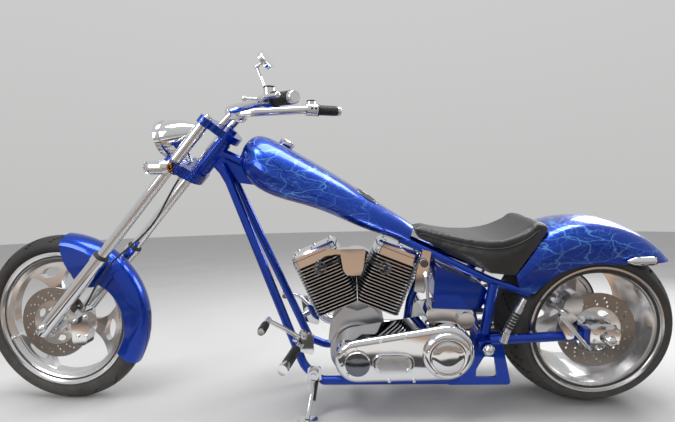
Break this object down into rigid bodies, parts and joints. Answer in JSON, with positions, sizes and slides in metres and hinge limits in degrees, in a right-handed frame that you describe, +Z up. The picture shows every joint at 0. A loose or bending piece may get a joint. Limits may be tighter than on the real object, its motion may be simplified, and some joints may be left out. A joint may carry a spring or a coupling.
{
  "type": "chopper motorcycle",
  "caption": "Long, low V-twin chopper with a stretched tank, raked fork, wide rear tyre and forward controls, parked leaning on its side stand.",
  "frame": {"origin": "on the ground, under the middle of the parked motorcycle's bounding box", "axes": "+X towards the rear, +Y towards the rider's right, +Z up; the motorcycle leans towards -Y"},
  "size_m": [2.7819, 0.8757, 1.2945],
  "materials": {
    "blue_paint": "candy metallic gloss",
    "chrome": "polished",
    "polished_alloy": "polished",
    "steel": "brushed",
    "tyre_rubber": "matt",
    "black_rubber": "satin",
    "black_leather": "soft grained"
  },
  "bodies": {
    "chassis": {"backbone": "blue_paint", "downtubes": "blue_paint", "lower_rails": "blue_paint", "seat_post": "blue_paint", "seat_rails": "blue_paint", "rear_posts": "blue_paint", "pivot_plates": "blue_paint", "swingarm": "blue_paint", "axle_boxes": "chrome", "rear_axle": "steel", "fuel_tank": "blue_paint", "filler_cap": "chrome", "seat": "black_leather", "rear_fender": "blue_paint", "tail_lights": "chrome", "oil_tank": "blue_paint", "crankcase": "polished_alloy", "front_cylinder": "polished_alloy", "rear_cylinder": "polished_alloy", "rocker_boxes": "chrome", "pushrod_tubes": "chrome", "horn_cover": "chrome", "primary_case": "chrome", "primary_covers": "chrome", "starter": "chrome", "gearbox": "polished_alloy", "belt_drive": "black_rubber", "exhaust_pipes": "chrome", "air_cleaner": "chrome", "coil_cover": "chrome", "foot_controls": "chrome", "passenger_pegs": "chrome", "rear_caliper": "polished_alloy", "stand_bracket": "blue_paint"},
    "side_stand": {"side_stand": "chrome"},
    "steering": {"fork_tubes": "chrome", "fork_sliders": "chrome", "lower_clamp": "blue_paint", "top_clamp": "blue_paint", "handlebar": "chrome", "grips": "black_rubber", "hand_controls": "chrome", "mirror": "chrome", "headlight": "chrome", "turn_signals": "chrome", "front_fender": "blue_paint", "fender_struts": "chrome", "front_caliper": "polished_alloy", "brake_hose": "black_rubber", "front_axle": "steel"},
    "front_wheel": {"front_tyre": "tyre_rubber", "front_rim": "polished_alloy", "front_disc": "steel"},
    "rear_wheel": {"rear_tyre": "tyre_rubber", "rear_rim": "polished_alloy", "rear_disc": "steel", "rear_pulley": "polished_alloy"}
  },
  "joints": [
    {"name": "steering", "type": "hinge", "parent": "chassis", "child": "steering", "pos_m": [-0.42179, -0.00006, 0.94829], "axis": [0.6625, -0.1081, 0.7412], "range_deg": [-25, 35]},
    {"name": "front_wheel_spin", "type": "hinge", "parent": "steering", "child": "front_wheel", "pos_m": [-1.04387, 0.09322, 0.34686], "axis": [0.0653, 0.9941, 0.0867], "continuous": true},
    {"name": "rear_wheel_spin", "type": "hinge", "parent": "chassis", "child": "rear_wheel", "pos_m": [1.06596, 0.09108, 0.32375], "axis": [0, 0.9895, 0.1444], "continuous": true},
    {"name": "side_stand_fold", "type": "hinge", "parent": "chassis", "child": "side_stand", "pos_m": [0.00598, -0.058, 0.15128], "axis": [0, -0.9895, -0.1444], "range_deg": [0, 82]}
  ]
}
